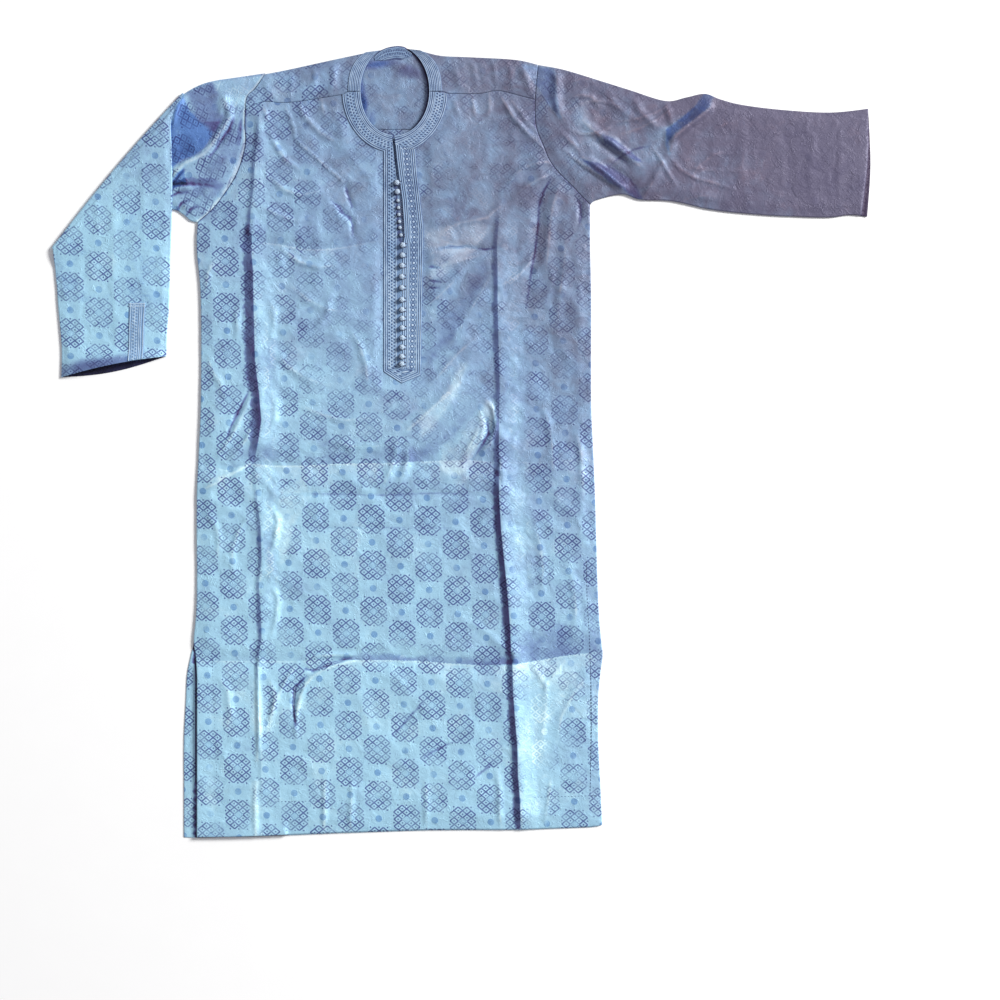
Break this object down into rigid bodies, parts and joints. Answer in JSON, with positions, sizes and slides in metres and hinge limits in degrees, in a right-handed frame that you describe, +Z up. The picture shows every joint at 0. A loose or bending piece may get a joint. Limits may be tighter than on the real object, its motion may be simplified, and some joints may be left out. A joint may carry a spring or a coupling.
{
  "type": "long kaftan tunic laid flat",
  "caption": "Long-sleeved kaftan tunic in blue damask, laid flat on its back, with embroidered round neck and pointed placket, ball buttons, side vents and the right sleeve folded over.",
  "frame": {"origin": "middle of the bounding box's base, on the surface the tunic lies on", "axes": "+Z up out of the surface, +Y from the hem to the neck, +X to the wearer's left hand, along the line from folded sleeve to straight sleeve"},
  "size_m": [1.1698, 1.1321, 0.0115],
  "materials": {
    "damask": "polished cotton damask, light blue with a violet cast, tone-on-tone lattice medallions, soft sheen",
    "embroidery": "raised tone-on-tone machine embroidery in paler blue-grey rayon thread, satin sheen",
    "button_thread": "ball buttons covered in pale blue-grey cord, slight gloss"
  },
  "bodies": {
    "root": {"back": "damask", "yoke": "damask", "front": "damask", "sleeve_left": "damask", "sleeve_right": "damask", "neck_border_back": "embroidery", "neck_border_yoke_left": "embroidery", "neck_border_yoke_right": "embroidery", "neck_border_front_left": "embroidery", "neck_border_front_right": "embroidery", "placket_left": "embroidery", "placket_right": "embroidery", "cuff_border_right": "embroidery", "button_01": "button_thread", "button_02": "button_thread", "button_03": "button_thread", "button_04": "button_thread", "button_05": "button_thread", "button_06": "button_thread", "button_07": "button_thread", "button_08": "button_thread", "button_09": "button_thread", "button_10": "button_thread", "button_11": "button_thread", "button_12": "button_thread", "button_13": "button_thread", "button_14": "button_thread", "button_15": "button_thread", "button_16": "button_thread", "button_17": "button_thread", "button_18": "button_thread", "button_19": "button_thread", "button_20": "button_thread", "button_21": "button_thread"}
  },
  "joints": []
}
